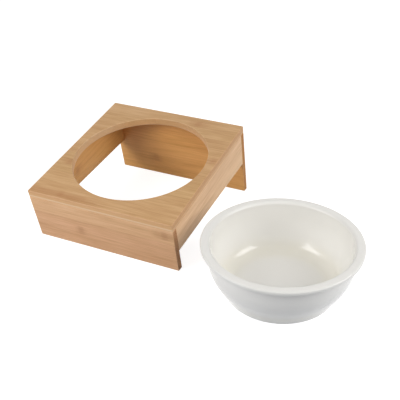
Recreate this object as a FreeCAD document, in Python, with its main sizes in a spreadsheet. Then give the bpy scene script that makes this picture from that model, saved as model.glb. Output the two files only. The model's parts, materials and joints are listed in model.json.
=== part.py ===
import FreeCAD
import Part
import Sketcher
import os

# Elevated pet bowl: a slanted bamboo stand of five boards joined by hidden dowels, and a glazed
# bowl that stands on the floor beside it. The bowl's rim is wider than the stand's round hole and
# its body is narrower, so it drops in and hangs by the rim.
#
# World frame: +Z up, floor at z = 0, +X to the right, the stand's low front faces -Y. The origin
# is the middle of the footprint of stand and bowl together.
# Stand frame, in which the boards and dowels are drawn: origin at the middle of the top surface,
# X across, Y up the slope to the rear, Z square to the top.

SIZES = (
    # The hole, and the boards round it
    ("hole_radius", 87.7),
    ("hole_offset", 1.3),
    ("rail_clearance", 2.3),
    ("panel_clearance", 10.1),
    ("top_thickness", 10.0),
    ("panel_thickness", 8.5),
    ("rail_thickness", 10.0),
    ("front_length", 72.5),
    ("rear_length", 107.2),
    ("rail_front_height", 35.6),
    ("rail_rear_height", 46.8),
    ("top_ease", 0.8),
    ("board_ease", 0.5),
    # The dowels, all alike, and their sockets
    ("dowel_diameter", 4.0),
    ("dowel_length", 20.0),
    ("dowel_chamfer", 0.6),
    ("dowel_clearance", 0.2),
    ("dowel_end_gap", 0.5),
    ("dowel_cover", 3.5),
    ("panel_dowel_inset", 22.0),
    ("rail_dowel_inset", 32.0),
    # The bowl
    ("seat_clearance", 2.7),
    ("rim_overlap", 4.4),
    ("bowl_height", 65.5),
    ("rim_band", 5.0),
    ("belly_draft", 1.7),
    ("belly_height", 32.6),
    ("foot_radius", 65.3),
    ("bowl_wall", 4.2),
    ("floor_thickness", 6.0),
    ("foot_ring_width", 8.0),
    ("foot_recess", 2.0),
    ("belly_round", 56.0),
    ("inner_belly_round", 70.0),
    ("floor_round", 18.0),
    ("rim_round", 2.0),
    ("lip_round", 4.0),
    ("under_rim_round", 1.5),
    ("foot_round", 1.2),
    # Where the bowl stands beside the stand
    ("bowl_gap", 29.3),
    ("bowl_forward", 72.1),
)

PANEL_DOWELS = 4
RAIL_DOWELS = 3
END_DOWEL_SHARES = (0.3, 0.7)

# Sizes that follow from the driving ones, written as expressions on the sheet
HALF_WIDTH = "(Sizes.hole_radius + Sizes.rail_clearance + Sizes.rail_thickness)"
HALF_DEPTH = "(Sizes.hole_radius + Sizes.panel_clearance + Sizes.panel_thickness)"
SLOPE = f"((Sizes.rear_length - Sizes.front_length) / (2 * {HALF_DEPTH}))"
TILT = f"atan({SLOPE})"
INNER_DEPTH = f"({HALF_DEPTH} - Sizes.panel_thickness)"
RAIL_MIDDLE = f"({HALF_WIDTH} - Sizes.rail_thickness / 2)"
PANEL_MIDDLE = f"({HALF_DEPTH} - Sizes.panel_thickness / 2)"
UNDER_TOP = "(-Sizes.top_thickness)"
RIM_RADIUS = "(Sizes.hole_radius + Sizes.rim_overlap)"
BODY_RADIUS = "(Sizes.hole_radius - Sizes.seat_clearance)"
BELLY_RADIUS = f"({BODY_RADIUS} - Sizes.belly_draft)"

# Lowest point at the rear, measured level from the middle of the top
REAR_REACH = f"({HALF_DEPTH} * cos({TILT}) + Sizes.rear_length * sin({TILT}))"
STAND_X = f"(-Sizes.bowl_gap / 2 - {RIM_RADIUS})"
STAND_Y = f"((Sizes.bowl_forward + {RIM_RADIUS} - {REAR_REACH}) / 2)"
STAND_Z = f"((Sizes.front_length + Sizes.rear_length) / 2 * cos({TILT}))"
BOWL_X = f"({STAND_X} + {HALF_WIDTH} + Sizes.bowl_gap + {RIM_RADIUS})"
BOWL_Y = f"({STAND_Y} - Sizes.bowl_forward)"

# A dowel sits this deep in the face of a board, and the rest of it in the edge of the next one
TOP_DEPTH = "(Sizes.top_thickness - Sizes.dowel_cover - Sizes.dowel_end_gap)"
FACE_DEPTH = "(Sizes.panel_thickness - Sizes.dowel_cover - Sizes.dowel_end_gap)"
UNDER_TOP_DEPTH = f"(Sizes.dowel_length - {TOP_DEPTH})"
RAIL_END_DEPTH = f"(Sizes.dowel_length - {FACE_DEPTH})"
DOWEL_RADIUS = "(Sizes.dowel_diameter / 2)"
SOCKET_RADIUS = "((Sizes.dowel_diameter + Sizes.dowel_clearance) / 2)"

doc = FreeCAD.newDocument("elevated_pet_bowl")
sheet = doc.addObject("Spreadsheet::Sheet", "Sizes")
for row, (alias, value) in enumerate(SIZES, start=1):
    sheet.set(f"A{row}", alias)
    sheet.set(f"B{row}", str(value))
    sheet.setAlias(f"B{row}", alias)
doc.recompute()


def number(expression):
    """Value of an expression on the sheet, in millimetres."""
    return float(sheet.evalExpression(expression))


def point(x, y):
    """Sketch point of two expressions."""
    return FreeCAD.Vector(number(x), number(y), 0)


def bind(sketch, constraint, expression):
    """Adds a dimension to a sketch and ties it to an expression."""
    index = sketch.addConstraint(constraint)
    name = f"size_{index}"
    sketch.renameConstraint(index, name)
    sketch.setExpression(f"Constraints.{name}", expression)


def new_body(label):
    """Empty body whose label names the part's file."""
    body = doc.addObject("PartDesign::Body", label)
    body.Label = label
    return body


def sketch_on(body, name, role, offset="0"):
    """Sketch on one of the body's own origin planes, moved along the plane's normal."""
    sketch = body.newObject("Sketcher::SketchObject", name)
    plane = next(item for item in body.Origin.OriginFeatures if item.Role == role)
    sketch.AttachmentSupport = [(plane, "")]
    sketch.MapMode = "FlatFace"
    sketch.setExpression("AttachmentOffset.Base.z", offset)
    return sketch


def circle(sketch, x, y, radius):
    """Circle with its centre and radius tied to the sheet."""
    shape = Part.Circle(point(x, y), FreeCAD.Vector(0, 0, 1), number(radius))
    geometry = sketch.addGeometry(shape)
    bind(sketch, Sketcher.Constraint("DistanceX", -1, 1, geometry, 3, number(x)), x)
    bind(sketch, Sketcher.Constraint("DistanceY", -1, 1, geometry, 3, number(y)), y)
    bind(sketch, Sketcher.Constraint("Radius", geometry, number(radius)), radius)


def corner_arc(before, corner, after, radius):
    """Points of the arc that rounds a corner: where it starts, its middle and where it ends."""
    back = (before - corner).normalize()
    ahead = (after - corner).normalize()
    bisector = (back + ahead).normalize()
    cosine = bisector * back
    sine = (1 - cosine**2) ** 0.5
    centre = corner + bisector * (radius / sine)
    tangent_length = radius * cosine / sine
    return corner + back * tangent_length, centre - bisector * radius, corner + ahead * tangent_length


def outline(sketch, corners):
    """Closed outline of straight runs. A corner is (x, y), or (x, y, radius) where it is rounded."""
    points = [point(corner[0], corner[1]) for corner in corners]
    arcs = []
    for i, corner in enumerate(corners):
        if len(corner) == 3:
            after = points[(i + 1) % len(points)]
            arcs.append(corner_arc(points[i - 1], points[i], after, number(corner[2])))
        else:
            arcs.append((points[i], points[i], points[i]))
    lines = []
    for i in range(len(corners)):
        start = arcs[i][2]
        end = arcs[(i + 1) % len(corners)][0]
        lines.append(sketch.addGeometry(Part.LineSegment(start, end)))
    for i, corner in enumerate(corners):
        x, y = corner[:2]
        before = lines[i - 1]
        after = lines[i]
        if len(corner) == 3:
            arc = sketch.addGeometry(Part.Arc(*arcs[i]))
            first = 1 if sketch.getPoint(arc, 1).isEqual(arcs[i][0], Part.Precision.confusion()) else 2
            sketch.addConstraint(Sketcher.Constraint("Tangent", before, 2, arc, first))
            sketch.addConstraint(Sketcher.Constraint("Tangent", arc, 3 - first, after, 1))
            bind(sketch, Sketcher.Constraint("Radius", arc, number(corner[2])), corner[2])
            held = sketch.addGeometry(Part.Point(points[i]), True)
            sketch.addConstraint(Sketcher.Constraint("PointOnObject", held, 1, before))
            sketch.addConstraint(Sketcher.Constraint("PointOnObject", held, 1, after))
        else:
            held = after
            sketch.addConstraint(Sketcher.Constraint("Coincident", before, 2, after, 1))
        bind(sketch, Sketcher.Constraint("DistanceX", -1, 1, held, 1, number(x)), x)
        bind(sketch, Sketcher.Constraint("DistanceY", -1, 1, held, 1, number(y)), y)


def pad(body, sketch, side, length, length_back=None):
    """Pad of a sketch: side is the feature's own choice of one side, two sides or symmetric."""
    feature = body.newObject("PartDesign::Pad", f"{body.Name}_{sketch.Name}_pad")
    feature.Profile = sketch
    feature.SideType = side
    feature.setExpression("Length", length)
    if length_back:
        feature.setExpression("Length2", length_back)
    doc.recompute()
    return feature


def ease_edges(body, base, size, chosen):
    """Chamfers those edges of the base feature for which chosen(edge) is true."""
    names = [f"Edge{i}" for i, edge in enumerate(base.Shape.Edges, start=1) if chosen(edge)]
    feature = body.newObject("PartDesign::Chamfer", f"{body.Name}_{base.Name}_ease")
    feature.Base = (base, names)
    feature.setExpression("Size", size)
    doc.recompute()
    return feature


def spread(count, half_length):
    """Evenly spaced places from -half_length to +half_length, as expressions."""
    return [f"({2 * i / (count - 1) - 1}) * {half_length}" for i in range(count)]


# Dowel places: rows along the panels and rails under the top, and pairs at the rails' ends
PANEL_PLACES = spread(PANEL_DOWELS, f"({HALF_WIDTH} - Sizes.panel_dowel_inset)")
RAIL_PLACES = spread(RAIL_DOWELS, f"({INNER_DEPTH} - Sizes.rail_dowel_inset)")
END_PLACES = [f"{UNDER_TOP} - Sizes.rail_front_height * {share}" for share in END_DOWEL_SHARES]


def panel_row(side):
    """Dowel centres along the front (side -1) or rear (side 1) panel, on the plane under the top."""
    return [(x, f"{side} * {PANEL_MIDDLE}") for x in PANEL_PLACES]


def rail_row(side):
    """Dowel centres along the left (side -1) or right (side 1) rail, on the plane under the top."""
    return [(f"{side} * {RAIL_MIDDLE}", y) for y in RAIL_PLACES]


def end_pair(side):
    """Dowel centres at an end of the left or right rail, on the plane where it meets a panel."""
    return [(f"{side} * {RAIL_MIDDLE}", z) for z in END_PLACES]


def joint_plane(side):
    """Offset, along the upright plane's forward normal, of a panel's inner face."""
    return f"{-side} * {INNER_DEPTH}"


def sockets(body, name, role, offset, centres, depth):
    """Blind dowel holes, cut both ways from the plane on which two boards meet."""
    before = body.Shape.Volume
    sketch = sketch_on(body, f"{body.Name}_{name}", role, offset)
    for x, y in centres:
        circle(sketch, x, y, SOCKET_RADIUS)
    feature = body.newObject("PartDesign::Pocket", f"{body.Name}_{name}_cut")
    feature.Profile = sketch
    feature.SideType = "Symmetric"
    feature.setExpression("Length", f"2 * ({depth} + Sizes.dowel_end_gap)")
    doc.recompute()
    if body.Shape.Volume >= before:
        raise RuntimeError(f"{name} of {body.Label} cut nothing")


def place_in_stand(body):
    """Puts a piece drawn in the stand frame on its slope over the floor."""
    body.Placement = FreeCAD.Placement(
        FreeCAD.Vector(), FreeCAD.Rotation(FreeCAD.Vector(1, 0, 0), number(TILT))
    )
    body.setExpression("Placement.Rotation.Angle", TILT)
    body.setExpression("Placement.Base.x", STAND_X)
    body.setExpression("Placement.Base.y", STAND_Y)
    body.setExpression("Placement.Base.z", STAND_Z)


def make_top_board():
    """Top: a square-cornered board with the round hole, eased all round."""
    body = new_body("top_board")
    sketch = sketch_on(body, "top_outline", "XY_Plane")
    outline(
        sketch,
        (
            (f"-{HALF_WIDTH}", f"-{HALF_DEPTH}"),
            (HALF_WIDTH, f"-{HALF_DEPTH}"),
            (HALF_WIDTH, HALF_DEPTH),
            (f"-{HALF_WIDTH}", HALF_DEPTH),
        ),
    )
    circle(sketch, "0", "Sizes.hole_offset", "Sizes.hole_radius")
    board = pad(body, sketch, "One side", "Sizes.top_thickness")
    board.Reversed = True
    doc.recompute()
    underside = number(UNDER_TOP)
    eased = ease_edges(body, board, "Sizes.top_ease", lambda edge: edge.BoundBox.ZMax > underside / 2)
    ease_edges(body, eased, "Sizes.board_ease", lambda edge: edge.BoundBox.ZMax < underside / 2)
    centres = panel_row(-1) + panel_row(1) + rail_row(-1) + rail_row(1)
    sockets(body, "sockets", "XY_Plane", UNDER_TOP, centres, TOP_DEPTH)
    return body


def make_panel(label, side, outer_length):
    """Front (side -1) or rear (side 1) leg panel, square to the top, its foot cut level."""
    body = new_body(label)
    sketch = sketch_on(body, f"{label}_profile", "YZ_Plane")
    outer = f"{side} * {HALF_DEPTH}"
    inner = f"{side} * {INNER_DEPTH}"
    inner_length = f"({outer_length} - {side} * Sizes.panel_thickness * {SLOPE})"
    outline(
        sketch,
        (
            (outer, UNDER_TOP),
            (outer, f"-{outer_length}"),
            (inner, f"-{inner_length}"),
            (inner, UNDER_TOP),
        ),
    )
    board = pad(body, sketch, "Symmetric", f"2 * {HALF_WIDTH}")
    ease_edges(body, board, "Sizes.board_ease", lambda edge: True)
    sockets(body, "top_sockets", "XY_Plane", UNDER_TOP, panel_row(side), UNDER_TOP_DEPTH)
    pairs = end_pair(-1) + end_pair(1)
    sockets(body, "face_sockets", "XZ_Plane", joint_plane(side), pairs, FACE_DEPTH)
    return body


def make_rail(label, side):
    """Left (side -1) or right (side 1) rail between the panels, deeper towards the rear."""
    body = new_body(label)
    edge = HALF_WIDTH if side < 0 else f"(Sizes.rail_thickness - {HALF_WIDTH})"
    sketch = sketch_on(body, f"{label}_profile", "YZ_Plane", f"-{edge}")
    outline(
        sketch,
        (
            (f"-{INNER_DEPTH}", UNDER_TOP),
            (f"-{INNER_DEPTH}", f"{UNDER_TOP} - Sizes.rail_front_height"),
            (INNER_DEPTH, f"{UNDER_TOP} - Sizes.rail_rear_height"),
            (INNER_DEPTH, UNDER_TOP),
        ),
    )
    board = pad(body, sketch, "One side", "Sizes.rail_thickness")
    ease_edges(body, board, "Sizes.board_ease", lambda edge: True)
    sockets(body, "top_sockets", "XY_Plane", UNDER_TOP, rail_row(side), UNDER_TOP_DEPTH)
    for name, end in (("front", -1), ("rear", 1)):
        sockets(body, f"{name}_sockets", "XZ_Plane", joint_plane(end), end_pair(side), RAIL_END_DEPTH)
    return body


def make_dowels(label, role, offset, centres, depth, face_ahead):
    """Dowels of one joint: depth is their share in the face of a board, on the normal's side or not."""
    body = new_body(label)
    sketch = sketch_on(body, f"{label}_circles", role, offset)
    for x, y in centres:
        circle(sketch, x, y, DOWEL_RADIUS)
    rest = f"(Sizes.dowel_length - {depth})"
    lengths = (depth, rest) if face_ahead else (rest, depth)
    pins = pad(body, sketch, "Two sides", *lengths)
    ease_edges(body, pins, "Sizes.dowel_chamfer", lambda edge: edge.isClosed())
    return body


def make_bowl():
    """Bowl: one turned profile with a foot ring, a coned and rounded belly and a flat rim."""
    body = new_body("bowl")
    sketch = sketch_on(body, "bowl_profile", "XZ_Plane")
    under_rim = "(Sizes.bowl_height - Sizes.rim_band)"
    cone = f"(({BELLY_RADIUS} - Sizes.foot_radius) / Sizes.belly_height)"
    floor_radius = f"(Sizes.foot_radius + {cone} * Sizes.floor_thickness - Sizes.bowl_wall)"
    ring_radius = "(Sizes.foot_radius - Sizes.foot_ring_width)"
    outline(
        sketch,
        (
            ("0", "Sizes.foot_recess"),
            (ring_radius, "Sizes.foot_recess"),
            (ring_radius, "0"),
            ("Sizes.foot_radius", "0", "Sizes.foot_round"),
            (BELLY_RADIUS, "Sizes.belly_height", "Sizes.belly_round"),
            (BODY_RADIUS, under_rim, "Sizes.under_rim_round"),
            (RIM_RADIUS, under_rim, "Sizes.under_rim_round"),
            (RIM_RADIUS, "Sizes.bowl_height", "Sizes.rim_round"),
            (f"{BODY_RADIUS} - Sizes.bowl_wall", "Sizes.bowl_height", "Sizes.lip_round"),
            (f"{BELLY_RADIUS} - Sizes.bowl_wall", "Sizes.belly_height", "Sizes.inner_belly_round"),
            (floor_radius, "Sizes.floor_thickness", "Sizes.floor_round"),
            ("0", "Sizes.floor_thickness"),
        ),
    )
    turned = body.newObject("PartDesign::Revolution", "bowl_turned")
    turned.Profile = sketch
    turned.ReferenceAxis = (sketch, ["V_Axis"])
    body.setExpression("Placement.Base.x", BOWL_X)
    body.setExpression("Placement.Base.y", BOWL_Y)
    doc.recompute()
    return body


stand = [
    make_top_board(),
    make_panel("front_panel", -1, "Sizes.front_length"),
    make_panel("rear_panel", 1, "Sizes.rear_length"),
    make_rail("left_rail", -1),
    make_rail("right_rail", 1),
    make_dowels("top_front_dowels", "XY_Plane", UNDER_TOP, panel_row(-1), TOP_DEPTH, True),
    make_dowels("top_rear_dowels", "XY_Plane", UNDER_TOP, panel_row(1), TOP_DEPTH, True),
    make_dowels("top_left_dowels", "XY_Plane", UNDER_TOP, rail_row(-1), TOP_DEPTH, True),
    make_dowels("top_right_dowels", "XY_Plane", UNDER_TOP, rail_row(1), TOP_DEPTH, True),
    make_dowels("front_left_dowels", "XZ_Plane", joint_plane(-1), end_pair(-1), FACE_DEPTH, True),
    make_dowels("front_right_dowels", "XZ_Plane", joint_plane(-1), end_pair(1), FACE_DEPTH, True),
    make_dowels("rear_left_dowels", "XZ_Plane", joint_plane(1), end_pair(-1), FACE_DEPTH, False),
    make_dowels("rear_right_dowels", "XZ_Plane", joint_plane(1), end_pair(1), FACE_DEPTH, False),
]
for piece in stand:
    place_in_stand(piece)
pieces = stand + [make_bowl()]
doc.recompute()

for item in doc.Objects:
    if "Invalid" in item.State or "Error" in item.State:
        raise RuntimeError(f"{item.Label} failed: {item.State}")
for piece in pieces:
    if piece.Shape.isNull() or not piece.Shape.isValid():
        raise RuntimeError(f"{piece.Label} has no valid shape")

os.makedirs("parts", exist_ok=True)
for piece in pieces:
    piece.Shape.exportStep(f"parts/{piece.Label}.step")
    print(piece.Label, len(piece.Shape.Solids), "solids,", round(piece.Shape.Volume / 1000, 2), "cm3")
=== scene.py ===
"""Elevated pet bowl: a slanted bamboo stand with a round hole, and a wide-rimmed glazed bowl.

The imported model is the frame: +Z up, floor at z = 0, the stand's low front faces -Y, and the bowl
stands on the floor to its right. Sizes given here are millimetres unless a class says otherwise.
What is measured on the frame, and every mesh, is in metres.
"""
import json
import logging
import math
from collections.abc import Callable, Sequence
from dataclasses import dataclass
from enum import Enum
from functools import partial
from typing import Any

import bmesh
import bpy
from bpy.types import Material, Mesh, Node, NodeSocket, NodeTree, Object
from mathutils import Euler, Matrix, Vector


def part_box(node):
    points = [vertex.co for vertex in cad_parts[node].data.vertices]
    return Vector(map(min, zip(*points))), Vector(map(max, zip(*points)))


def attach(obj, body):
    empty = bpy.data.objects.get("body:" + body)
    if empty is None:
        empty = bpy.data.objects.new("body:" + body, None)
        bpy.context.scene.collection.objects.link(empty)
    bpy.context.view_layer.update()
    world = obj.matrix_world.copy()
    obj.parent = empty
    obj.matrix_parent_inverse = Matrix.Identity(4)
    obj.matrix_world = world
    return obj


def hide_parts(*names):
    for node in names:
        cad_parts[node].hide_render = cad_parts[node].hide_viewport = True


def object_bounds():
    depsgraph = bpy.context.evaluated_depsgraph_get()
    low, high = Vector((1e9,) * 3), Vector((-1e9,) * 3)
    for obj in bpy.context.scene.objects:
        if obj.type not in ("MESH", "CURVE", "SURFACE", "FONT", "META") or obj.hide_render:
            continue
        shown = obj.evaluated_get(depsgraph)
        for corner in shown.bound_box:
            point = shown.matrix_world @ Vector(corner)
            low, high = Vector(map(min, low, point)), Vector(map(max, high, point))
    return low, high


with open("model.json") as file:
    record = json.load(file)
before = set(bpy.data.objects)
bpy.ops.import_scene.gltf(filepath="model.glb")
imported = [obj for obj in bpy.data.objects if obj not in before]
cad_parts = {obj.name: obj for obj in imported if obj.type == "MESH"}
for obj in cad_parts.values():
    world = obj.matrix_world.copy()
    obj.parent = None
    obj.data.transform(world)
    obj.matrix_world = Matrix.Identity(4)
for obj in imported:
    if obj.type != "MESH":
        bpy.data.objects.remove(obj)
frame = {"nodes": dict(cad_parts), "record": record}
CAD_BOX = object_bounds()

LOG = logging.getLogger("elevated_pet_bowl")
MM = 0.001
X, Y, Z = (Vector(row) for row in Matrix.Identity(3))
WHITE = "#FFFFFF"
# Faces that meet at more than this angle have an edge that is eased
SHARP = math.radians(30)

# Kinds of node that are used many times
MATH = "ShaderNodeMath"
VECTOR = "ShaderNodeVectorMath"
RANGE = "ShaderNodeMapRange"
NOISE = "ShaderNodeTexNoise"
MIX = "ShaderNodeMix"
ATTRIBUTE = "ShaderNodeAttribute"
SPLIT = "ShaderNodeSeparateXYZ"

# Sockets of a Mix node for colours
MIX_FACTOR = 0
MIX_A = 6
MIX_B = 7
MIX_COLOUR = 2

# Span that a noise mostly keeps to
NOISE_SPAN = {"From Min": 0.3, "From Max": 0.7}

# What adds a node to one tree, and a tint: where it lies, how strong it is and its colour
AddNode = Callable[..., Node]
Tint = tuple[Any, Any, str]


class Body(Enum):
    """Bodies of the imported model."""

    STAND = "stand"
    BOWL = "bowl"


class Tone(Enum):
    """Tones of steamed bamboo, as dark, middle and pale colours of its strips."""

    CARAMEL = ("#AF8453", "#C59D6D", "#D7B187")
    ROSY = ("#CC9A6A", "#E4B385", "#F4C79D")
    # Paler bamboo of the right rail, partly a painted light on the side that faces the right lamp
    PALE_AND_LIT = ("#D1A679", "#E7BE92", "#F6D3AD")
    GOLDEN = ("#CF934D", "#E3A761", "#EFB570")
    HONEY = ("#C68F4C", "#D8A360", "#E4B06D")


class Slot(Enum):
    """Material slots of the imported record."""

    BAMBOO = "bamboo"
    DOWEL = "dowel"
    GLAZE = "glaze"


def linear(colour: str) -> tuple[float, float, float, float]:
    """Turns an sRGB hex colour into linear RGBA.

    Args:
        colour: Hex colour such as "#C8A06C".

    Returns:
        Linear red, green, blue and an alpha of 1.
    """
    channels = [int(colour[i : i + 2], 16) / 255 for i in (1, 3, 5)]
    return (*(c / 12.92 if c <= 0.04045 else ((c + 0.055) / 1.055) ** 2.4 for c in channels), 1.0)


def feed(node: Node, inputs: dict[str | int, Any]) -> None:
    """Sets or links the inputs of a node.

    Args:
        node: The node.
        inputs: By socket name or number: a value, a socket, or a node whose first output is meant.
    """
    for key, value in inputs.items():
        if isinstance(value, Node):
            value = value.outputs[0]
        if isinstance(value, NodeSocket):
            node.id_data.links.new(value, node.inputs[key])
        else:
            node.inputs[key].default_value = value


def add_node(
    tree: NodeTree, kind: str, inputs: dict[str | int, Any] | None = None, **settings: Any
) -> Node:
    """Adds a node with its settings, and sets or links its inputs.

    Args:
        tree: Node tree that gets the node.
        kind: Type of the node.
        inputs: What its sockets are fed with.
        settings: Properties of the node.

    Returns:
        The new node.
    """
    node = tree.nodes.new(kind)
    for name, value in settings.items():
        setattr(node, name, value)
    feed(node, inputs or {})
    return node


def new_material(name: str, sockets: dict[str, Any]) -> tuple[Material, Node]:
    """Makes a material with a principled shader.

    Args:
        name: Name of the material.
        sockets: Values that are the same all over the surface, by socket name.

    Returns:
        The material and its shader node.
    """
    material = bpy.data.materials.new(name)
    material.use_nodes = True
    shader = material.node_tree.nodes["Principled BSDF"]
    feed(shader, sockets)
    return material, shader


def new_object(name: str, data: Any) -> Object:
    """Makes an object and puts it in the scene.

    Args:
        name: Name of the object.
        data: Its mesh, lamp or camera.

    Returns:
        The object.
    """
    item = bpy.data.objects.new(name, data)
    bpy.context.scene.collection.objects.link(item)
    return item


def add_piece(name: str, mesh: Mesh, body: Body, nodes: Sequence[str]) -> None:
    """Puts a finished mesh on a body of the model, in place of its CAD nodes.

    Args:
        name: Name of the piece.
        mesh: Mesh whose vertices are in the row frame.
        body: Body that carries the piece.
        nodes: CAD nodes that the piece stands for.
    """
    piece = new_object(name, mesh)
    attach(piece, body.value)
    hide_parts(*nodes)
    LOG.info("%s: %d faces on body %s", name, len(mesh.polygons), body.value)


@dataclass(frozen=True)
class BambooFinish:
    """Steamed bamboo board: strips glued side by side in plies, sanded and lacquered satin.

    Each strip keeps its own tone and is ruled by fine fibres. Where a joint of the cane was, a strip
    has a short brown smudge. Sawn ends cut through the fibres, so they look darker and dotted.
    """

    strip_width: float = 20.8
    ply: float = 5.0
    plies: int = 2
    # Shares of a strip and of a ply by which counting starts early, so that no face lies on a border
    strip_start: float = 0.02
    ply_start: float = 0.04
    # Fibre bundles are about 0.4 mm wide, drawn coarser so that they show
    fibre_width: float = 1.2
    fibre_length: float = 34.0
    streak_width: float = 7.0
    streak_length: float = 110.0
    # Strips lie between these shares of the way from dark to pale, fibres and streaks to either side
    strip_tones: tuple[float, float] = (0.32, 0.54)
    fibre_tone: float = 0.22
    streak_tone: float = 0.2
    # Share of the colour circle by which a strip may be rosier or yellower
    hue_turn: float = 0.003
    # Brown of cane joints and glue lines, also laid on as a painted shade on the top's upper corners
    joint: str = "#9C6132"
    joint_width: float = 18.0
    joint_length: float = 11.0
    joint_depth: float = 0.26
    # Share of a joint's reach that has its full depth, and how ragged the fibres make its border
    joint_core: float = 0.2
    wobble: float = 0.9
    glue_line: float = 0.5
    glue_depth: float = 0.35
    # Cosines to the fibres where a sawn end starts and is full, and to the plies' axis for a side
    sawn_turn: tuple[float, float] = (0.6, 0.95)
    side_turn: tuple[float, float] = (0.7, 0.0)
    sawn: str = "#8A5326"
    sawn_pale: float = 0.6
    edge: str = "#E8B47E"
    edge_start: float = 0.3
    edge_outside: float = 0.4
    # Pale of eased corners and sawn ends, also laid on as the painted highlight along outer sides
    eased: str = "#F6D6B0"
    eased_share: float = 0.15
    eased_ends: float = 0.3
    # Painted highlight along an outer side: its half width, its height over the underside, its strength
    highlight_reach: float = 1.8
    highlight_height: float = 2.7
    highlight_share: float = 0.75
    # Strength of the painted shade on the top's outer upper corners, which darkens the light they catch
    arris_shade_share: float = 0.35
    # Roughness between the fibres and on them, and what a sawn end adds
    rough: tuple[float, float] = (0.62, 0.4)
    sawn_rough: float = 0.45
    relief: float = 0.2
    relief_share: float = 0.25

    def material(self, board: "Board", stand: Matrix) -> Material:
        """Makes the bamboo of one board.

        Args:
            board: The board.
            stand: Matrix from the stand's frame to the row frame.

        Returns:
            The material.
        """
        material, shader = new_material(
            f"lacquered_bamboo_{board.node}",
            {"IOR": 1.5, "Specular IOR Level": 0.4, "Coat Weight": 0.08, "Coat Roughness": 0.35},
        )
        add = partial(add_node, shader.id_data)
        to_board = board.to_board(stand)
        texture = add("ShaderNodeTexCoord").outputs
        turned = {"Location": to_board.translation, "Rotation": to_board.to_euler()}
        place = add("ShaderNodeMapping", {"Vector": texture["Object"], **turned})

        # Which strip and ply a point is in, and that strip's own random numbers
        counts = (0.0, 1 / (self.strip_width * MM), 1 / (self.ply * MM))
        scaled = add(VECTOR, {0: place, 1: counts}, operation="MULTIPLY")
        start = (board.seed, self.strip_start, self.ply_start)
        cells = add(VECTOR, {0: scaled, 1: start}, operation="ADD")
        number = add(VECTOR, {0: cells}, operation="FLOOR")
        chance = add("ShaderNodeTexWhiteNoise", {"Vector": number}, noise_dimensions="3D").outputs

        # Fibres and broader streaks, drawn out along the board and different in each strip
        drift = add(VECTOR, {0: place, 1: chance["Color"]}, operation="ADD")
        fibres = self._streaks(add, drift, self.fibre_length, self.fibre_width)
        streaks = self._streaks(add, drift, self.streak_length, self.streak_width)
        lowest, highest = self.strip_tones
        tone = add(RANGE, {"Value": chance["Value"], "To Min": lowest, "To Max": highest})
        for noise, reach in ((fibres, self.fibre_tone), (streaks, self.streak_tone)):
            swing = add(RANGE, {"Value": noise, **NOISE_SPAN, "To Min": -reach, "To Max": reach})
            tone = add(MATH, {0: tone, 1: swing}, operation="ADD")
        ramp = add("ShaderNodeValToRGB", {"Fac": tone})
        dark, middle, pale = board.tone.value
        stops = ramp.color_ramp.elements
        stops[0].color = linear(dark)
        stops[1].color = linear(pale)
        stops.new(0.5).color = linear(middle)

        # Some strips are a little rosier than others; an even hue is 0.5
        hue = add("ShaderNodeSeparateColor", {"Color": chance["Color"]}).outputs["Green"]
        turns = {"To Min": 0.5 - self.hue_turn, "To Max": 0.5 + self.hue_turn}
        shift = add(RANGE, {"Value": hue, **turns})
        colour = add("ShaderNodeHueSaturation", {"Hue": shift, "Color": ramp})

        # Tints, laid on in turn: marks of joints, glue lines, darker dotted ends and paler eased corners
        tints = [mark for joint in board.joints for mark in self._joint_marks(add, place, joint, fibres)]
        across = add(SPLIT, {0: cells}).outputs["Y"]
        crossed = add(MATH, {0: across}, operation="FRACT")
        border = self.glue_line / self.strip_width
        glue = add(RANGE, {"Value": crossed, "From Min": border, "From Max": 0.0})
        tints.append((glue, self.glue_depth, self.joint))
        fibres_axis, _, inward = to_board.to_3x3()
        sawn = self._facing(add, texture["Normal"], fibres_axis, self.sawn_turn)
        corner = add(ATTRIBUTE, attribute_name="eased").outputs["Fac"]
        # Top's edges: paler sides, a painted highlight along outer sides, painted shade on upper corners
        if board.edge:
            side = self._facing(add, texture["Normal"], inward, self.side_turn)
            outer = add(ATTRIBUTE, attribute_name="outer").outputs["Fac"]
            faces = {"side": side, "outer": outer, "sawn": sawn, "corner": corner}
            tints += self._edge_tints(add, place, board.edge, faces)
            sawn = add(MATH, {0: sawn, 1: outer}, operation="MULTIPLY")
        shares = {"To Min": board.sawn, "To Max": self.sawn_pale * board.sawn}
        dots = add(RANGE, {"Value": fibres, **NOISE_SPAN, **shares})
        tints += [(sawn, dots, self.sawn), (corner, self.eased_share, self.eased)]
        for share, strength, tint in tints:
            part = add(MATH, {0: share, 1: strength}, operation="MULTIPLY")
            layers = {MIX_FACTOR: part, MIX_A: colour, MIX_B: linear(tint)}
            colour = add(MIX, layers, data_type="RGBA").outputs[MIX_COLOUR]

        # Lacquer lies smoother on the hard fibres, and soaks into sawn ends
        between, on_fibres = self.rough
        rough = add(RANGE, {"Value": fibres, "To Min": between, "To Max": on_fibres})
        soaked = {0: sawn, 1: self.sawn_rough * board.sawn, 2: rough}
        dull = add(MATH, soaked, operation="MULTIPLY_ADD")
        relief = {"Strength": self.relief_share, "Distance": self.relief * MM, "Height": fibres}
        bump = add("ShaderNodeBump", relief)
        feed(shader, {"Base Color": colour, "Roughness": dull, "Normal": bump})
        return material

    @staticmethod
    def _streaks(add: AddNode, place: Node, length: float, width: float) -> Node:
        """Adds a noise drawn out along the fibres.

        Args:
            add: What adds a node to the material.
            place: Node that gives the point on the board.
            length: Length of a streak in millimetres.
            width: Width of a streak in millimetres.

        Returns:
            Node of the noise, about 0.5 in the middle.
        """
        counts = (1 / (length * MM), 1 / (width * MM), 1 / (width * MM))
        scaled = add(VECTOR, {0: place, 1: counts}, operation="MULTIPLY")
        return add(NOISE, {"Vector": scaled, "Scale": 1.0, "Detail": 2.0, "Roughness": 0.6})

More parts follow.
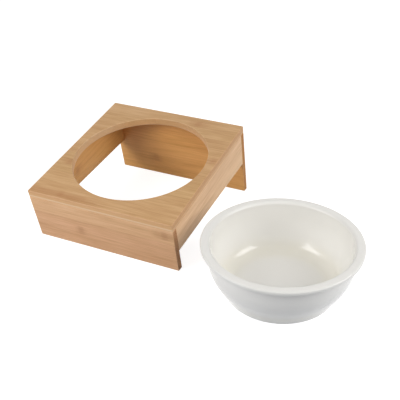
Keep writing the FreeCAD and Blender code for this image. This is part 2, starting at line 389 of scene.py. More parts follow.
    def _joint_marks(self, add: AddNode, place: Node, joint: "CaneJoint", fibres: Node) -> list[Tint]:
        """Adds the stain along the fibres beside a joint of the cane, and the brown bar where it was.

        Args:
            add: What adds a node to the material.
            place: Node that gives the point on the board.
            joint: The joint.
            fibres: Node of the fibre noise.

        Returns:
            The two marks as tints.
        """
        centre = (joint.along * MM, joint.across * MM, 0.0)
        arm = add(VECTOR, {0: place, 1: centre}, operation="SUBTRACT")
        marks = []
        for length, depth in ((joint.stain, joint.depth), (self.joint_length, self.joint_depth)):
            counts = (2 / (length * MM), 2 / (self.joint_width * MM), 0.0)
            scaled = add(VECTOR, {0: arm, 1: counts}, operation="MULTIPLY")
            squared = add(VECTOR, {0: scaled, 1: scaled}, operation="MULTIPLY")
            reach = add(VECTOR, {0: squared}, operation="LENGTH").outputs["Value"]
            ragged = add(MATH, {0: fibres, 1: self.wobble, 2: reach}, operation="MULTIPLY_ADD")
            fade = {"From Min": 1.0 + self.wobble / 2, "From Max": self.joint_core}
            smudge = add(RANGE, {"Value": ragged, **fade}, interpolation_type="SMOOTHSTEP")
            marks.append((smudge, depth, self.joint))
        return marks

    def _edge_tints(self, add: AddNode, place: Node, edge: float, faces: dict[str, Any]) -> list[Tint]:
        """Adds the tints of sanded edges.

        They are paler towards the underside, most of all outside, where a painted highlight runs along
        them, and their outer upper corners get a painted brown shade.

        Args:
            add: What adds a node to the material.
            place: Node that gives the point on the board.
            edge: Share of the edge's colour at the underside.
            faces: What gives how far a face is a side, an outer one, a sawn end and an eased corner.

        Returns:
            The tints, in the order in which they are laid on.
        """
        depth = add(SPLIT, {0: place}).outputs["Z"]
        under = self.plies * self.ply * MM
        shares = {"To Min": self.edge_start * edge, "To Max": edge}
        deeper = add(RANGE, {"Value": depth, "From Max": under, **shares})
        # Painted highlight: a light line along the outer sides, a little above the underside
        below = add(MATH, {0: depth, 1: under - self.highlight_height * MM}, operation="SUBTRACT")
        away = add(MATH, {0: below}, operation="ABSOLUTE")
        fade = {"From Min": self.highlight_reach * MM, "From Max": 0.0, "To Max": self.highlight_share}
        line = add(RANGE, {"Value": away, **fade})
        # Painted shade: the outer upper corners darker brown, fading out one ply down
        fade = {"From Min": self.ply * MM, "From Max": 0.0, "To Max": self.arris_shade_share}
        arris_shade = add(RANGE, {"Value": depth, **fade})
        arris = add(MATH, {0: faces["corner"], 1: faces["outer"]}, operation="MULTIPLY")
        return [
            (faces["side"], deeper, self.edge),
            (faces["sawn"], self.eased_ends, self.eased),
            (faces["outer"], self.edge_outside, self.edge),
            (faces["outer"], line, self.eased),
            (arris, arris_shade, self.joint),
        ]

    @staticmethod
    def _facing(add: AddNode, normal: NodeSocket, axis: Vector, turn: tuple[float, float]) -> Node:
        """Adds a share that depends on how squarely a face looks along an axis.

        Args:
            add: What adds a node to the material.
            normal: Socket of the face's normal.
            axis: The axis, in the row frame.
            turn: Cosine to the axis where the share is 0, and where it is 1.

        Returns:
            Node of the share.
        """
        cosine = add(VECTOR, {0: normal, 1: tuple(axis)}, operation="DOT_PRODUCT").outputs["Value"]
        square = add(MATH, {0: cosine}, operation="ABSOLUTE")
        none, full = turn
        span = {"From Min": none, "From Max": full}
        return add(RANGE, {"Value": square, **span}, interpolation_type="SMOOTHSTEP")


@dataclass(frozen=True)
class GlazeFinish:
    """White stoneware glaze, fired glossy.

    It thins to a greyer, duller white on rim and edges, partly a painted shade there, and pools
    creamier in the inner corner, and its surface waves very slightly, which softens the mirrored lights.
    """

    name: str = "white_gloss_glaze"
    # Greyer white of thin glaze, partly a painted shade on the rim, under it and at the foot
    thin_and_shaded: str = "#E5E3DE"
    even: str = "#EBE9E4"
    pooled: str = "#EAE6DA"
    wave: float = 22.0
    wave_height: float = 0.05
    mottle: float = 9.0
    mottle_share: float = 0.02
    # Roughness where the glaze is thin and where it is even
    rough: tuple[float, float] = (0.32, 0.12)

    def material(self) -> Material:
        """Makes the glaze, which reads its thickness from the attribute glaze.

        Returns:
            The material.
        """
        material, shader = new_material(self.name, {"IOR": 1.5})
        add = partial(add_node, shader.id_data)
        place = add("ShaderNodeTexCoord").outputs["Object"]
        depth = add(ATTRIBUTE, attribute_name="glaze").outputs["Fac"]
        cloud = add(NOISE, {"Vector": place, "Scale": 1 / (self.mottle * MM), "Detail": 2.0})
        swing = {"To Min": -self.mottle_share, "To Max": self.mottle_share}
        uneven = add(RANGE, {"Value": cloud, **NOISE_SPAN, **swing})
        thickness = add(MATH, {0: depth, 1: uneven}, operation="ADD")
        # Thin glaze is greyer, partly a painted shade on the rim, under it and at the foot
        ramp = add("ShaderNodeValToRGB", {"Fac": thickness})
        stops = ramp.color_ramp.elements
        stops[0].color = linear(self.thin_and_shaded)
        stops[1].color = linear(self.pooled)
        stops.new(0.5).color = linear(self.even)
        thin_and_shaded, even = self.rough
        rough = add(RANGE, {"Value": thickness, "From Max": 0.5, "To Min": thin_and_shaded, "To Max": even})
        waves = add(NOISE, {"Vector": place, "Scale": 1 / (self.wave * MM), "Detail": 1.0})
        height = self.wave_height * MM
        bump = add("ShaderNodeBump", {"Strength": 1.0, "Distance": height, "Height": waves})
        feed(shader, {"Base Color": ramp, "Roughness": rough, "Normal": bump})
        return material


@dataclass(frozen=True)
class GrainFinish:
    """Bare, dry material with fine dark grains, sandy or woody.

    Attributes:
        name: Name of the material.
        grains: Colour of the grains.
        ground: Colour between them.
        size: Size of a grain in millimetres.
        detail: Octaves of finer grains.
        span: Where in the noise the grains end, and where the plain ground starts.
        rough: Roughness.
        specular: Level of its mirroring, 0.5 being that of a smooth surface.
        relief: Height of the grains in millimetres.
        relief_share: Share of that height that shows.
    """

    name: str
    grains: str
    ground: str
    size: float
    detail: float
    span: tuple[float, float]
    rough: float
    specular: float
    relief: float
    relief_share: float

    def material(self) -> Material:
        """Makes the material.

        Returns:
            The material.
        """
        even = {"IOR": 1.5, "Roughness": self.rough, "Specular IOR Level": self.specular}
        material, shader = new_material(self.name, even)
        add = partial(add_node, shader.id_data)
        place = add("ShaderNodeTexCoord").outputs["Object"]
        noise = add(NOISE, {"Vector": place, "Scale": 1 / (self.size * MM), "Detail": self.detail})
        ramp = add("ShaderNodeValToRGB", {"Fac": noise})
        for stop, position, colour in zip(ramp.color_ramp.elements, self.span, (self.grains, self.ground)):
            stop.position = position
            stop.color = linear(colour)
        relief = {"Strength": self.relief_share, "Distance": self.relief * MM, "Height": noise}
        feed(shader, {"Base Color": ramp, "Normal": add("ShaderNodeBump", relief)})
        return material


# Stoneware of the foot ring, wiped bare before firing: dry, sandy and warm grey
BISQUE = GrainFinish(
    "unglazed_stoneware",
    grains="#A99C88",
    ground="#CFC6B6",
    size=1.2,
    detail=3.0,
    span=(0.3, 0.6),
    rough=0.85,
    specular=0.2,
    relief=0.2,
    relief_share=0.4,
)

# Raw turned beech: pale and dry, with short dark flecks
BEECH = GrainFinish(
    "turned_beech",
    grains="#A97F50",
    ground="#D8B98C",
    size=0.5,
    detail=2.0,
    span=(0.35, 0.55),
    rough=0.75,
    specular=0.3,
    relief=0.1,
    relief_share=0.3,
)


@dataclass(frozen=True)
class CaneJoint:
    """Mark where a joint of the cane was, and the stain along the fibres beside it.

    Attributes:
        along: Place along the fibres, from the middle of the board, in millimetres.
        across: Place across the strips, from the board's origin, in millimetres.
        stain: Length of the stain in millimetres.
        depth: Share of the joint's colour in the stain.
    """

    along: float
    across: float
    stain: float = 30.0
    depth: float = 0.3


@dataclass(frozen=True)
class Board:
    """One bamboo board, drawn in the stand's frame.

    Attributes:
        node: CAD node that the board stands for.
        outline: Corners of its flat outline.
        through: Vector from that outline to the opposite face.
        fibres: Direction of the fibres.
        outer: Direction in which the outer face looks, and from which plies are counted.
        origin: Corner from which strips and plies are counted.
        tone: Tone of its bamboo.
        seed: Number that sets this board's strips apart.
        sawn: Share of the sawn colour on its ends.
        edge: Share of the paler colour on its edges.
        joints: Cane joints that show on it.
        hole: Points of the round hole, one for each outline point, or none.
    """

    node: str
    outline: tuple[Vector, ...]
    through: Vector
    fibres: Vector
    outer: Vector
    origin: Vector
    tone: Tone
    seed: float
    sawn: float = 0.75
    edge: float = 0.0
    joints: tuple[CaneJoint, ...] = ()
    hole: tuple[Vector, ...] = ()

    def build(self, ease: float, segments: int) -> Mesh:
        """Makes the board with eased edges, marked by the attribute eased, and its outer sides by outer.

        Args:
            ease: Radius of the eased edges in metres.
            segments: Facets across an eased edge.

        Returns:
            The mesh, in the stand's frame.
        """
        work = bmesh.new()
        layer = work.faces.layers.float.new("eased")
        outer = work.faces.layers.float.new("outer")
        offsets = (Vector(), self.through)
        loops = [[work.verts.new(point + offset) for point in self.outline] for offset in offsets]
        holes = [[work.verts.new(point + offset) for point in self.hole] for offset in offsets]
        count = len(self.outline)
        for i in range(count):
            j = (i + 1) % count
            work.faces.new((loops[0][i], loops[0][j], loops[1][j], loops[1][i]))[outer] = 1.0
            if self.hole:
                work.faces.new((holes[0][i], holes[0][j], holes[1][j], holes[1][i])).smooth = True
                for loop, hole in zip(loops, holes):
                    work.faces.new((loop[i], loop[j], hole[j], hole[i]))
        if not self.hole:
            for loop in loops:
                work.faces.new(loop)
        bmesh.ops.recalc_face_normals(work, faces=work.faces)

        inner = {vertex for loop in holes for vertex in loop}
        sharp = [edge for edge in work.edges if edge.calc_face_angle(0.0) > SHARP]
        rims = [edge for edge in sharp if inner.issuperset(edge.verts)]
        sides = [edge for edge in sharp if not inner.issuperset(edge.verts)]
        for edges, outside in ((sides, 1.0), (rims, 0.0)):
            eased = bmesh.ops.bevel(
                work, geom=edges, offset=ease, segments=segments, profile=0.5, affect="EDGES"
            )
            for face in eased["faces"]:
                face[layer] = 1.0
                face[outer] = outside
                face.smooth = True
        mesh = bpy.data.meshes.new(f"bamboo_{self.node}")
        work.to_mesh(mesh)
        work.free()
        return mesh

    def to_board(self, stand: Matrix) -> Matrix:
        """Gives the matrix from the row frame to the board's fibres, strips and plies.

        Args:
            stand: Matrix from the stand's frame to the row frame.

        Returns:
            The matrix.
        """
        inward = -self.outer
        rows = Matrix((self.fibres, inward.cross(self.fibres), inward)).to_4x4()
        return rows @ Matrix.Translation(-self.origin) @ stand.inverted()


@dataclass
class Stand:
    """Slanted stand: a top with a round hole on two leg panels and two rails, joined by dowels.

    Its frame has the origin at the middle of the top surface, X across, Y up the slope to the rear
    and Z square to the top. Lengths without a value here are measured on the frame's nodes, in
    metres, and those with a value are millimetres.
    """

    placed: Matrix
    half_width: float
    half_depth: float
    top_thickness: float
    panel_thickness: float
    rail_thickness: float
    hole_centre: Vector
    hole_radius: float
    rail_front_height: float = 35.6
    rail_rear_height: float = 46.8
    top_ease: float = 0.9
    board_ease: float = 0.6
    ease_segments: int = 3
    hole_segments: int = 160
    # Dowels from the top into a panel and into a rail, and from a panel into a rail
    end_dowels: int = 4
    side_dowels: int = 3
    corner_dowels: int = 2
    dowel_diameter: float = 4.0
    dowel_chamfer: float = 0.6
    flutes: int = 12
    flute_depth: float = 0.25

    @classmethod
    def from_frame(cls) -> "Stand":
        """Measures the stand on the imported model.

        Returns:
            The stand.
        """
        hole = next(mount for mount in frame["record"]["mounts"] if mount["name"] == "bowl_hole")
        turn = Z.rotation_difference(Vector(hole["axis"])).to_matrix().to_4x4()
        low, high = cls._extent("top_board", turn.inverted())
        placed = turn @ Matrix.Translation(((low.x + high.x) / 2, (low.y + high.y) / 2, high.z))
        flat = placed.inverted()
        panel_low, panel_high = cls._extent("front_panel", flat)
        rail_low, rail_high = cls._extent("left_rail", flat)
        centre = flat @ Vector(hole["pos_m"])
        return cls(
            placed=placed,
            half_width=(high.x - low.x) / 2,
            half_depth=(high.y - low.y) / 2,
            top_thickness=high.z - low.z,
            panel_thickness=panel_high.y - panel_low.y,
            rail_thickness=rail_high.x - rail_low.x,
            hole_centre=Vector((centre.x, centre.y, 0)),
            hole_radius=hole["dims"]["r_mm"] * MM,
        )

    @staticmethod
    def _extent(node: str, flat: Matrix) -> tuple[Vector, Vector]:
        """Lowest and highest corner of a CAD node in another frame."""
        points = [flat @ vertex.co for vertex in frame["nodes"][node].data.vertices]
        return Vector(map(min, *points)), Vector(map(max, *points))

    def floor_under(self, y: float) -> float:
        """Gives the height of the floor in the stand's frame, square under the top.

        Args:
            y: Place up the slope.

        Returns:
            The height, which is below zero.
        """
        flat = self.placed.inverted()
        normal = flat.to_3x3() @ Z
        floor = flat @ Vector()
        return floor.z - normal.y * (y - floor.y) / normal.z

    def top(self) -> Board:
        """Draws the top board, with its hole.

        Returns:
            The board.
        """
        signs = ((1, 1), (-1, 1), (-1, -1), (1, -1))
        corners = [Vector((x * self.half_width, y * self.half_depth, 0)) for x, y in signs]
        step = 2 * math.pi / self.hole_segments
        arms = [corner - self.hole_centre for corner in corners]
        at_corners = [math.atan2(arm.y, arm.x) % (2 * math.pi) for arm in arms]
        angles = [i * step for i in range(self.hole_segments)]
        angles = [a for a in angles if all(abs(a - c) > step / 2 for c in at_corners)] + at_corners
        rays = [Vector((math.cos(a), math.sin(a), 0)) for a in sorted(angles)]
        return Board(
            node="top_board",
            outline=tuple(self._to_edge(ray) for ray in rays),
            through=-self.top_thickness * Z,
            fibres=X,
            outer=Z,
            origin=Vector((0, self.half_depth, 0)),
            tone=Tone.CARAMEL,
            seed=17.0,
            sawn=0.45,
            edge=0.7,
            joints=(
                CaneJoint(-56.0, 206.0, stain=150.0, depth=0.42),
                CaneJoint(-82.0, 145.0),
                CaneJoint(94.0, 86.0, stain=50.0),
                CaneJoint(40.0, 14.0, stain=40.0),
            ),
            hole=tuple(self.hole_centre + ray * self.hole_radius for ray in rays),
        )

    def _to_edge(self, ray: Vector) -> Vector:
        """Point where a ray from the hole's middle leaves the top board."""
        reach = min(
            (math.copysign(half, part) - middle) / part
            for half, part, middle in zip((self.half_width, self.half_depth), ray, self.hole_centre)
            if part
        )
        return self.hole_centre + ray * reach

    def panel(self, node: str, side: int, **bamboo: Any) -> Board:
        """Draws a leg panel, square to the top, its foot cut level.

        Args:
            node: CAD node of the panel.
            side: -1 for the front panel, 1 for the rear one.
            bamboo: Tone, seed and joints of its bamboo.

        Returns:
            The board.
        """
        outer = side * self.half_depth
        inner = side * (self.half_depth - self.panel_thickness)
        profile = (
            (outer, -self.top_thickness),
            (outer, self.floor_under(outer)),
            (inner, self.floor_under(inner)),
            (inner, -self.top_thickness),
        )
        return Board(
            node=node,
            outline=tuple(Vector((-self.half_width, y, z)) for y, z in profile),
            through=2 * self.half_width * X,
            fibres=X,
            outer=side * Y,
            origin=Vector((0, outer, -self.top_thickness)),
            **bamboo,
        )

    def rail(self, node: str, side: int, **bamboo: Any) -> Board:
        """Draws a rail between the panels, deeper towards the rear.

        Args:
            node: CAD node of the rail.
            side: -1 for the left rail, 1 for the right one.
            bamboo: Tone, seed and joints of its bamboo.

        Returns:
            The board.
        """
        reach = self.half_depth - self.panel_thickness
        profile = (
            (-reach, -self.top_thickness),
            (-reach, -self.top_thickness - self.rail_front_height * MM),
            (reach, -self.top_thickness - self.rail_rear_height * MM),
            (reach, -self.top_thickness),
        )
        outer = side * self.half_width
        return Board(
            node=node,
            outline=tuple(Vector((outer, y, z)) for y, z in profile),
            through=-side * self.rail_thickness * X,
            fibres=Y,
            outer=side * X,
            origin=Vector((outer, 0, -self.top_thickness)),
            **bamboo,
        )

    def build(self, finish: BambooFinish) -> None:
        """Makes the five boards and dresses them in bamboo.

        Args:
            finish: The bamboo.
        """
        front_joints = (CaneJoint(-33.0, 36.0, stain=22.0, depth=0.2), CaneJoint(88.0, 9.0, stain=40.0))
        rear_joints = (CaneJoint(-40.0, -68.0), CaneJoint(55.0, -26.0))
        left_joints = (CaneJoint(-20.0, -20.0),)
        boards = (
            self.top(),
            self.panel("front_panel", -1, tone=Tone.ROSY, seed=94.0, joints=front_joints),
            self.panel("rear_panel", 1, tone=Tone.GOLDEN, seed=57.0, joints=rear_joints),
            self.rail("left_rail", -1, tone=Tone.HONEY, seed=41.0, joints=left_joints),
            # Its paler tone is partly painted light on the side that faces the right lamp
            self.rail("right_rail", 1, tone=Tone.PALE_AND_LIT, seed=53.0),
        )
        for board in boards:
            ease = self.top_ease if board.hole else self.board_ease
            mesh = board.build(ease * MM, self.ease_segments)
            mesh.transform(self.placed)
            mesh.materials.append(finish.material(board, self.placed))
            add_piece(f"bamboo_{board.node}", mesh, Body.STAND, [board.node])

    def build_dowels(self, finish: GrainFinish) -> None:
        """Makes all the fluted dowels as one piece, from a node tree that repeats one dowel.

        Args:
            finish: The dowels' wood.
        """
        ends, sides = ("front", "rear"), ("left", "right")
        # Rows of dowels: CAD node, the dowels' axis, the row's direction and their number
        rows = (
            *((f"top_{end}_dowels", Z, X, self.end_dowels) for end in ends),
            *((f"top_{side}_dowels", Z, Y, self.side_dowels) for side in sides),
            *((f"{end}_{side}_dowels", Y, Z, self.corner_dowels) for end in ends for side in sides),
        )
        flat = self.placed.inverted()
        radius = self.dowel_diameter * MM / 2
        places: list[Vector] = []
        turns: list[Euler] = []
        length = 0.0
        for node, axis, along, count in rows:
            low, high = self._extent(node, flat)
            middle = (low + high) / 2
            reach = (high - low).dot(along) / 2 - radius
            length = (high - low).dot(axis)
            turn = (self.placed.to_3x3() @ Z.rotation_difference(axis).to_matrix()).to_euler()
            for i in range(count):
                share = 2 * i / (count - 1) - 1
                places.append(self.placed @ (middle + along * (share * reach)))
                turns.append(turn)
        mesh = bpy.data.meshes.new("dowel_places")
        mesh.from_pydata(places, [], [])
        attribute = mesh.attributes.new("turn", "FLOAT_VECTOR", "POINT")
        attribute.data.foreach_set("vector", [angle for turn in turns for angle in turn])
        wood = finish.material()
        sizes = {
            "Radius": radius,
            "Length": length,
            "Chamfer": self.dowel_chamfer * MM,
            "Flutes": self.flutes,
            "Flute Depth": self.flute_depth * MM,
            "Wood": wood,
        }
        dowels = self._repeat_dowel(mesh, sizes)
        dowels.materials[0] = wood
        add_piece("fluted_dowels", dowels, Body.STAND, [row[0] for row in rows])

    @staticmethod
    def _repeat_dowel(places: Mesh, sizes: dict[str, Any]) -> Mesh:
        """Puts a fluted, chamfered dowel on each place, turned by the attribute turn.

        Args:
            places: Mesh with one vertex for each dowel.
            sizes: Values of the tree's named inputs.

        Returns:
            One plain mesh with all the dowels.
        """
        tree = bpy.data.node_groups.new("fluted_dowel", "GeometryNodeTree")
        add = partial(add_node, tree)
        tree.interface.new_socket("Places", in_out="INPUT", socket_type="NodeSocketGeometry")
        kinds = {float: "NodeSocketFloat", int: "NodeSocketInt", Material: "NodeSocketMaterial"}
        identifiers = {
            name: tree.interface.new_socket(name, in_out="INPUT", socket_type=kinds[type(value)]).identifier
            for name, value in sizes.items()
        }
        tree.interface.new_socket("Dowels", in_out="OUTPUT", socket_type="NodeSocketGeometry")
        given = add("NodeGroupInput").outputs

        # Section: a circle with rounded grooves, four points to each
        points = add(MATH, {0: given["Flutes"], 1: 4.0}, operation="MULTIPLY")
        ring = {"Resolution": points, "Radius": given["Radius"]}
        circle = add("GeometryNodeCurvePrimitiveCircle", ring)
        place = add("GeometryNodeInputPosition")
        parts = add(SPLIT, {0: place}).outputs
        angle = add(MATH, {0: parts["Y"], 1: parts["X"]}, operation="ARCTAN2")
        wave = add(MATH, {0: angle, 1: given["Flutes"]}, operation="MULTIPLY")
        cosine = add(MATH, {0: wave}, operation="COSINE")
        groove = add(MATH, {0: cosine, 1: 0.0}, operation="MAXIMUM")
        share = add(MATH, {0: given["Flute Depth"], 1: given["Radius"]}, operation="DIVIDE")
        cut = add(MATH, {0: groove, 1: share}, operation="MULTIPLY")
        kept = add(MATH, {0: 1.0, 1: cut}, operation="SUBTRACT")
        fluted = add(VECTOR, {0: place, "Scale": kept}, operation="SCALE")
        section = add("GeometryNodeSetPosition", {"Geometry": circle, "Position": fluted})

        # Axis: a line whose inner points slide out to where the chamfers start
        half = add(MATH, {0: given["Length"], 1: 2.0}, operation="DIVIDE")
        start = add(MATH, {0: 0.0, 1: half}, operation="SUBTRACT")
        low, high = (add("ShaderNodeCombineXYZ", {"Z": end}) for end in (start, half))
        line = add("GeometryNodeCurvePrimitiveLine", {"Start": low, "End": high})
        divided = add("GeometryNodeSubdivideCurve", {"Curve": line, "Cuts": 2})
        sign = add(MATH, {0: parts["Z"]}, operation="SIGN")
        shoulder = add(MATH, {0: half, 1: given["Chamfer"]}, operation="SUBTRACT")
        height = add(MATH, {0: sign, 1: shoulder}, operation="MULTIPLY")
        slid = add("ShaderNodeCombineXYZ", {"Z": height})
        ends = add("GeometryNodeCurveEndpointSelection")
        between = add("FunctionNodeBooleanMath", {0: ends}, operation="NOT")
        moved = {"Geometry": divided, "Selection": between, "Position": slid}
        axis = add("GeometryNodeSetPosition", moved)
        narrow = add(MATH, {0: given["Chamfer"], 1: given["Radius"]}, operation="DIVIDE")
        tip = add(MATH, {0: 1.0, 1: narrow}, operation="SUBTRACT")
        even = add("GeometryNodeSetCurveRadius", {"Curve": axis, "Radius": 1.0})
        tapered = add("GeometryNodeSetCurveRadius", {"Curve": even, "Selection": ends, "Radius": tip})
        swept = {"Curve": tapered, "Profile Curve": section, "Fill Caps": True}
        dowel = add("GeometryNodeCurveToMesh", swept)

        turn = add("GeometryNodeInputNamedAttribute", {"Name": "turn"}, data_type="FLOAT_VECTOR")
        rotation = add("FunctionNodeEulerToRotation", {0: turn})
        repeated = {"Points": given["Places"], "Instance": dowel, "Rotation": rotation}
        copies = add("GeometryNodeInstanceOnPoints", repeated)
        real = add("GeometryNodeRealizeInstances", {"Geometry": copies})
        dressed = add("GeometryNodeSetMaterial", {"Geometry": real, "Material": given["Wood"]})
        add("NodeGroupOutput", {0: dressed})

        maker = new_object("dowel_maker", places)
        modifier = maker.modifiers.new("dowels", "NODES")
        modifier.node_group = tree
        for name, value in sizes.items():
            modifier[identifiers[name]] = value
        graph = bpy.context.evaluated_depsgraph_get()
        mesh = bpy.data.meshes.new_from_object(maker.evaluated_get(graph))
        mesh.name = "fluted_dowels"
        bpy.data.objects.remove(maker)
        return mesh


@dataclass
class Bowl:
    """Turned bowl with a foot ring, a coned belly and a flat rim; its centre is in metres."""

    centre: Vector
    rim_radius: float
    height: float
    body_radius: float = 85.0
    belly_radius: float = 83.3
    belly_height: float = 32.6
    foot_radius: float = 65.3
    rim_band: float = 5.0
    wall: float = 4.2
    floor: float = 6.0
    foot_ring_width: float = 8.0
    foot_recess: float = 2.0
    belly_round: float = 56.0
    inner_belly_round: float = 70.0
    floor_round: float = 18.0
    rim_round: float = 2.0
    lip_round: float = 4.0
    under_rim_round: float = 1.5
    foot_round: float = 1.2
    glaze_line: float = 0.5
    pool_reach: float = 14.0
    # Reach of the thin glaze from rim and edges, whose greyer colour is partly a painted shade
    edge_reach: float = 5.0
    run_step: float = 3.0
    arc_steps: int = 10
    segments: int = 192

    @classmethod
    def from_frame(cls) -> "Bowl":
        """Measures the bowl's place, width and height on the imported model.

        Returns:
            The bowl.
        """
        low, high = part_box("bowl")
        middle = (low + high) / 2
        return cls(
            centre=Vector((middle.x, middle.y, low.z)),
            rim_radius=(high.x - low.x) / 2 / MM,
            height=(high.z - low.z) / MM,
        )

    def corners(self) -> dict[str, tuple[Vector, float]]:
        """Corners of the profile as (radius, height) with the radius that rounds each one.

        Returns:
            Corners by name, from the middle of the recess, round the outside and back over the inside.
        """
        cone = (self.belly_radius - self.foot_radius) / self.belly_height
        floor_radius = self.foot_radius + cone * self.floor - self.wall
        ring = self.foot_radius - self.foot_ring_width
        under_rim = self.height - self.rim_band
        sizes = {
            "recess_middle": (0.0, self.foot_recess, 0.0),
            "recess_edge": (ring, self.foot_recess, 0.0),
            "ring": (ring, 0.0, 0.0),
            "foot": (self.foot_radius, 0.0, self.foot_round),
            "belly": (self.belly_radius, self.belly_height, self.belly_round),
            "under_rim": (self.body_radius, under_rim, self.under_rim_round),
            "rim_below": (self.rim_radius, under_rim, self.under_rim_round),
            "rim": (self.rim_radius, self.height, self.rim_round),
            "lip": (self.body_radius - self.wall, self.height, self.lip_round),
            "inner_belly": (self.belly_radius - self.wall, self.belly_height, self.inner_belly_round),
            "floor_edge": (floor_radius, self.floor, self.floor_round),
            "floor_middle": (0.0, self.floor, 0.0),
        }
        return {name: (Vector(place), rounding) for name, (*place, rounding) in sizes.items()}

    def profile(self) -> list[Vector]:
        """Points of the rounded profile, close enough together for smooth shading.

        Returns:
            Points as (radius, height) in millimetres.
        """
        corners = list(self.corners().values())
        points = [corners[0][0]]
        for i in range(1, len(corners) - 1):
            (before, _), (corner, rounding), (after, _) = corners[i - 1 : i + 2]
            arc = self._arc(before, corner, after, rounding) if rounding else [corner]
            points += self._run(points[-1], arc[0]) + arc
        points += self._run(points[-1], corners[-1][0]) + [corners[-1][0]]
        return points

    def _run(self, start: Vector, end: Vector) -> list[Vector]:
        """Points between the ends of a straight run, the ends left out."""
        count = int((end - start).length / self.run_step)
        return [start.lerp(end, i / (count + 1)) for i in range(1, count + 1)]

    def _arc(self, before: Vector, corner: Vector, after: Vector, radius: float) -> list[Vector]:
        """Points of the arc that rounds a corner.

        Args:
            before: Corner before it.
            corner: The corner.
            after: Corner after it.
            radius: Radius of the arc.

        Returns:
            Points from where the arc starts to where it ends.
        """
        back = (before - corner).normalized()
        ahead = (after - corner).normalized()
        bisector = (back + ahead).normalized()
        half = math.acos(max(-1.0, min(1.0, bisector.dot(back))))
        centre = corner + bisector * (radius / math.sin(half))
        start = corner + back * (radius / math.tan(half)) - centre
        sweep = start.angle_signed(corner + ahead * (radius / math.tan(half)) - centre)
        turns = [Matrix.Rotation(-sweep * i / self.arc_steps, 2) for i in range(self.arc_steps + 1)]
        return [centre + turn @ start for turn in turns]

    def glaze_depth(self, point: Vector) -> float:
        """Thickness of the glaze from 0 to 1: it pools in the inner corner and thins on rim and edges.

        Args:
            point: Point of the profile.

        Returns:
            The thickness, 0.5 where it is even. Thin glaze is greyer, partly a painted shade.
        """
        corners = {name: corner for name, (corner, _) in self.corners().items()}
        pool = math.exp(-(((point - corners["floor_edge"]).length / self.pool_reach) ** 2))
        rim, lip = corners["rim"], corners["lip"]
        on_rim = Vector((min(max(point.x, lip.x), rim.x), rim.y))
        # Near the foot, the rim's lower edge and the rim the glaze thins: greyer, partly a painted shade
        nearest = min((point - edge).length for edge in (corners["foot"], corners["rim_below"], on_rim))
        return 0.5 + 0.5 * pool - 0.5 * math.exp(-((nearest / self.edge_reach) ** 2))

    def build(self, glaze: GlazeFinish, bisque: GrainFinish) -> None:
        """Turns the profile and dresses the bowl: glaze all over, bare clay under the foot ring.

        Args:
            glaze: The glaze.
            bisque: The bare clay.
        """
        work = bmesh.new()
        depth = work.verts.layers.float.new("glaze")
        rings: list[list[bmesh.types.BMVert]] = []
        for point in self.profile():
            thickness = self.glaze_depth(point)
            ring = []
            for i in range(self.segments if point.x > 0 else 1):
                angle = 2 * math.pi * i / self.segments
                arm = Vector((math.cos(angle), math.sin(angle), 0)) * point.x
                vertex = work.verts.new(self.centre + (arm + point.y * Z) * MM)
                vertex[depth] = thickness
                ring.append(vertex)
            rings.append(ring)
        for first, second in zip(rings, rings[1:]):
            for i in range(self.segments):
                j = (i + 1) % self.segments
                turns = ((first, i), (first, j), (second, j), (second, i))
                loop = [ring[turn % len(ring)] for ring, turn in turns]
                face = work.faces.new(list(dict.fromkeys(loop)))
                face.smooth = True
                face.material_index = int(max(vertex.co.z for vertex in loop) <= self.glaze_line * MM)
        bmesh.ops.recalc_face_normals(work, faces=work.faces)
        mesh = bpy.data.meshes.new("glazed_bowl")
        work.to_mesh(mesh)
        work.free()
        mesh.materials.append(glaze.material())
        mesh.materials.append(bisque.material())
        add_piece("glazed_bowl", mesh, Body.BOWL, ["bowl"])


@dataclass(frozen=True)
class Softbox:
    """Large soft lamp.

    Attributes:
        name: Name of the lamp.
        azimuth: Degrees from the front (-Y) towards the right (+X).
        elevation: Degrees above the floor.
        level: Share of full white to which it lights a white surface that faces it.
        size: Side of the square lamp in metres.
        distance: Distance from the middle of the object in metres.
    """

    name: str
    azimuth: float
    elevation: float
    level: float
    size: float = 0.8
    distance: float = 1.3

    def build(self, target: Vector) -> None:
        """Hangs the lamp so that it looks at a point.

        Args:
            target: The point.
        """
        turn = math.radians(self.azimuth)
        rise = math.radians(self.elevation)
        arm = Vector((math.sin(turn) * math.cos(rise), -math.cos(turn) * math.cos(rise), math.sin(rise)))
        lamp = bpy.data.lights.new(self.name, "AREA")
        lamp.size = self.size
        lamp.energy = self.level * (math.pi * self.distance) ** 2
        holder = new_object(self.name, lamp)
        holder.location = target + arm * self.distance
        holder.rotation_euler = arm.to_track_quat("Z", "Y").to_euler()


@dataclass(frozen=True)
class Camera:
    """Camera at the photograph's viewing angle: lengths in millimetres, angles in degrees."""

    place: tuple[float, float, float] = (300.0, -626.1, 482.9)
    azimuth: float = 23.463
    elevation: float = 33.978
    roll: float = 0.1
    lens: float = 59.237
    sensor: float = 36.0
    shift_x: float = -0.0739
    shift_y: float = 0.0778

    def build(self) -> None:
        """Sets the camera up."""
        camera = bpy.data.cameras.new("camera")
        camera.sensor_width = self.sensor
        camera.lens = self.lens
        camera.shift_x = self.shift_x
        camera.shift_y = self.shift_y
        holder = new_object("camera", camera)
        holder.location = Vector(self.place) * MM
        swing = Matrix.Rotation(math.radians(self.azimuth), 4, "Z")
        tip = Matrix.Rotation(math.radians(90 - self.elevation), 4, "X")
        lean = Matrix.Rotation(math.radians(self.roll), 4, "Z")
        holder.rotation_euler = (swing @ tip @ lean).to_euler()
        bpy.context.scene.camera = holder


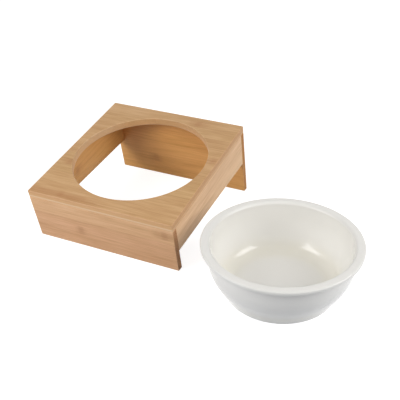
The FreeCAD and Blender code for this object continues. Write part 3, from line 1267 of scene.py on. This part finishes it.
@dataclass(frozen=True)
class Studio:
    """White studio: pale floor, white surroundings and two soft lamps, one to each side."""

    softboxes: tuple[Softbox, ...] = (
        Softbox("softbox_right", azimuth=95.0, elevation=28.0, level=0.58),
        Softbox("softbox_left", azimuth=-38.0, elevation=30.0, level=0.62),
    )
    # Brightness of the surroundings at the horizon and overhead
    horizon: float = 0.14
    zenith: float = 0.54
    # Side of the square floor in metres
    floor_size: float = 8.0
    floor: str = "#AAAEB6"
    # Colour of the floor where it is seen, and the white that is added to it there
    shown: str = "#BCBCBC"
    lift: float = 0.82

    def build(self) -> None:
        """Makes the lamps, the surroundings and the floor."""
        bpy.context.scene.view_settings.view_transform = "Standard"
        low, high = CAD_BOX
        for softbox in self.softboxes:
            softbox.build((low + high) / 2)
        self._surround()
        self._lay_floor()

    def _surround(self) -> None:
        """Makes surroundings that light the object softly and look white themselves."""
        world = bpy.data.worlds.new("white_surroundings")
        world.use_nodes = True
        bpy.context.scene.world = world
        background = world.node_tree.nodes["Background"]
        add = partial(add_node, world.node_tree)
        towards = add("ShaderNodeTexCoord").outputs["Generated"]
        rise = add(SPLIT, {0: towards}).outputs["Z"]
        soft = add(RANGE, {"Value": rise, "To Min": self.horizon, "To Max": self.zenith})
        level = add(RANGE, {"Value": self._seen(add), "To Min": soft, "To Max": 1.0})
        feed(background, {"Color": linear(WHITE), "Strength": level})

    def _lay_floor(self) -> None:
        """Makes a matt floor that looks white and keeps the object's shadow."""
        half = self.floor_size / 2
        corners = [(-half, -half, 0), (half, -half, 0), (half, half, 0), (-half, half, 0)]
        mesh = bpy.data.meshes.new("floor")
        mesh.from_pydata(corners, [], [(0, 1, 2, 3)])
        matt = {"Roughness": 1.0, "Specular IOR Level": 0.0, "Emission Color": linear(WHITE)}
        material, shader = new_material("matt_floor_paint", matt)
        add = partial(add_node, shader.id_data)
        seen = self._seen(add)
        layers = {MIX_FACTOR: seen, MIX_A: linear(self.floor), MIX_B: linear(self.shown)}
        paint = add(MIX, layers, data_type="RGBA").outputs[MIX_COLOUR]
        glow = add(MATH, {0: seen, 1: self.lift}, operation="MULTIPLY")
        feed(shader, {"Base Color": paint, "Emission Strength": glow})
        mesh.materials.append(material)
        floor = new_object("floor", mesh)

    @staticmethod
    def _seen(add: AddNode) -> Node:
        """Adds what is 1 for rays that show the background, straight or mirrored, and else 0.

        Args:
            add: What adds a node to the floor's or the world's tree.

        Returns:
            Node with the number.
        """
        path = add("ShaderNodeLightPath").outputs
        ways = {0: path["Is Glossy Ray"], 1: path["Is Transmission Ray"]}
        mirrored = add(MATH, ways, operation="MAXIMUM")
        return add(MATH, {0: path["Is Camera Ray"], 1: mirrored}, operation="MAXIMUM")


def main() -> None:
    logging.basicConfig(level=logging.INFO)
    stand = Stand.from_frame()
    stand.build(BambooFinish())
    stand.build_dowels(BEECH)
    Bowl.from_frame().build(GlazeFinish(), BISQUE)
    Studio().build()
    Camera().build()


if __name__ == "__main__":
    main()
